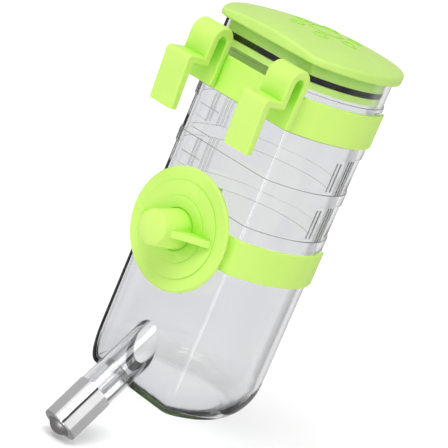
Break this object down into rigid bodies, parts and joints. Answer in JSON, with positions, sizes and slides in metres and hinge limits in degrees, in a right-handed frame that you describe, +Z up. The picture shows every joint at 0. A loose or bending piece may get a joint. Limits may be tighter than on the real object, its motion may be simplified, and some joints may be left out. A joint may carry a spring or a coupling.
{
  "type": "small-animal water bottle",
  "caption": "Clear D-section drinking bottle with a plug lid, bands with cage hooks and a screw clamp, and a downward-sloping ball-valve metal nozzle.",
  "frame": {"origin": "on the axis of the body's round back, in the plane the foot stands on", "axes": "+Z up from the foot to the lid; -Y towards the cage, the side with the hooks, the clamp and the nozzle; X across the cage wall"},
  "size_m": [0.08, 0.1108, 0.1971],
  "materials": {
    "clear_plastic": "clear, glossy",
    "green_plastic": "satin",
    "black_rubber": "matt",
    "white_silicone": "matt",
    "polished_steel": "polished",
    "steel_ball": "ground and polished",
    "natural_plastic": "translucent, satin",
    "spring_steel": "bright wire"
  },
  "bodies": {
    "bottle": {"bottle_body": "clear_plastic", "nozzle_sleeve": "polished_steel", "valve_insert": "natural_plastic", "nozzle_gasket": "white_silicone", "ball_seat": "natural_plastic", "valve_spring": "spring_steel"},
    "lid": {"lid_cap": "green_plastic", "lid_seal": "black_rubber"},
    "hook_band": {"hook_band": "green_plastic"},
    "clamp_band": {"clamp_band": "green_plastic"},
    "clamp_disc": {"clamp_disc": "green_plastic"},
    "ball": {"tip_ball": "steel_ball"}
  },
  "joints": [
    {"name": "lid_lift", "type": "slide", "parent": "bottle", "child": "lid", "axis": [0, 0, 1], "range_m": [0, 0.035]},
    {"name": "hook_band_shift", "type": "slide", "parent": "bottle", "child": "hook_band", "axis": [0, 0, 1], "range_m": [-0.044, 0]},
    {"name": "clamp_band_shift", "type": "slide", "parent": "bottle", "child": "clamp_band", "axis": [0, 0, 1], "range_m": [0, 0.044]},
    {"name": "clamp_turn", "type": "hinge", "parent": "clamp_band", "child": "clamp_disc", "pos_m": [0, -0.03115, 0.076], "axis": [0, -1, 0], "continuous": true},
    {"name": "ball_press", "type": "slide", "parent": "bottle", "child": "ball", "axis": [0, 0.6428, 0.766], "range_m": [0, 0.0015], "stiffness_N_per_m": 100, "deforming": ["valve_spring"]}
  ]
}
